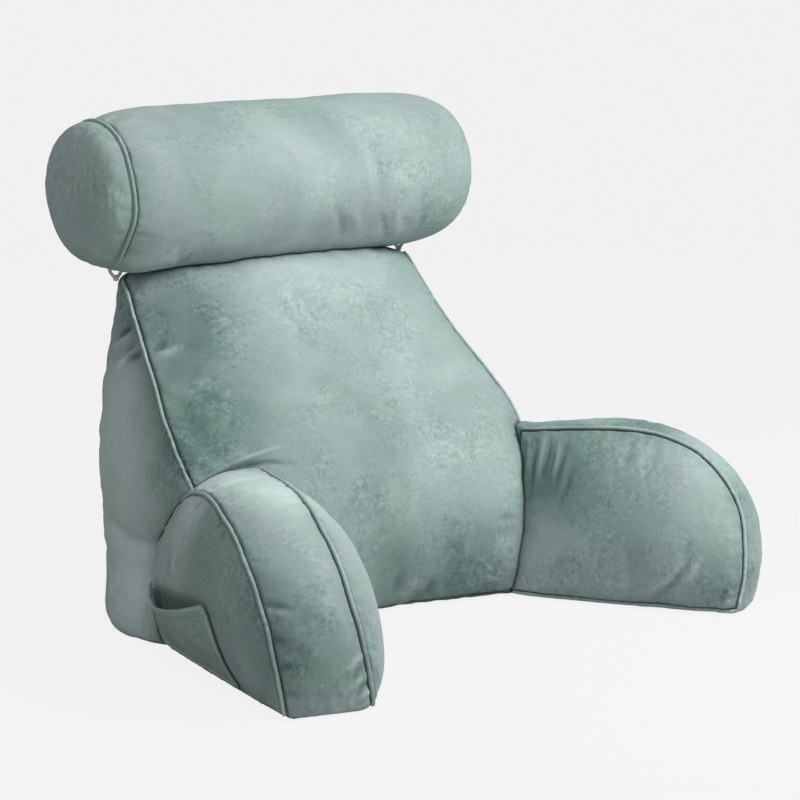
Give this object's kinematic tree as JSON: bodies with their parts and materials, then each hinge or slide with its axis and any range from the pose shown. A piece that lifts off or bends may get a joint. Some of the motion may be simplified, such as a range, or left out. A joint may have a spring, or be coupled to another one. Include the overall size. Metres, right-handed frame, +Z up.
{
  "type": "reading pillow with arms",
  "caption": "Stuffed wedge backrest with forward-reaching arms, a neck roll along its top, piped seams and an open patch pocket on one arm.",
  "frame": {"origin": "middle of the pillow's outline in plan, on the surface it stands on", "axes": "+X across the pillow, to the right of someone who looks at its front; the sitter faces -Y, where the arms reach; +Z up"},
  "size_m": [0.6992, 0.553, 0.557],
  "materials": {
    "plush_cloth": "short-pile plush, brushed in patches",
    "plush_piping": "short-pile plush, rolled into a seam",
    "loop_cord": "smooth braided cord"
  },
  "bodies": {
    "root": {"neck_roll": "plush_cloth", "backrest": "plush_cloth", "arm_left": "plush_cloth", "arm_right": "plush_cloth", "pocket": "plush_cloth", "roll_piping_left": "plush_piping", "roll_piping_right": "plush_piping", "arm_left_piping_inner": "plush_piping", "arm_left_piping_outer": "plush_piping", "arm_right_piping_inner": "plush_piping", "arm_right_piping_outer": "plush_piping", "backrest_piping_left": "plush_piping", "backrest_piping_right": "plush_piping", "roll_loop_left": "loop_cord", "roll_loop_right": "loop_cord"}
  },
  "joints": []
}
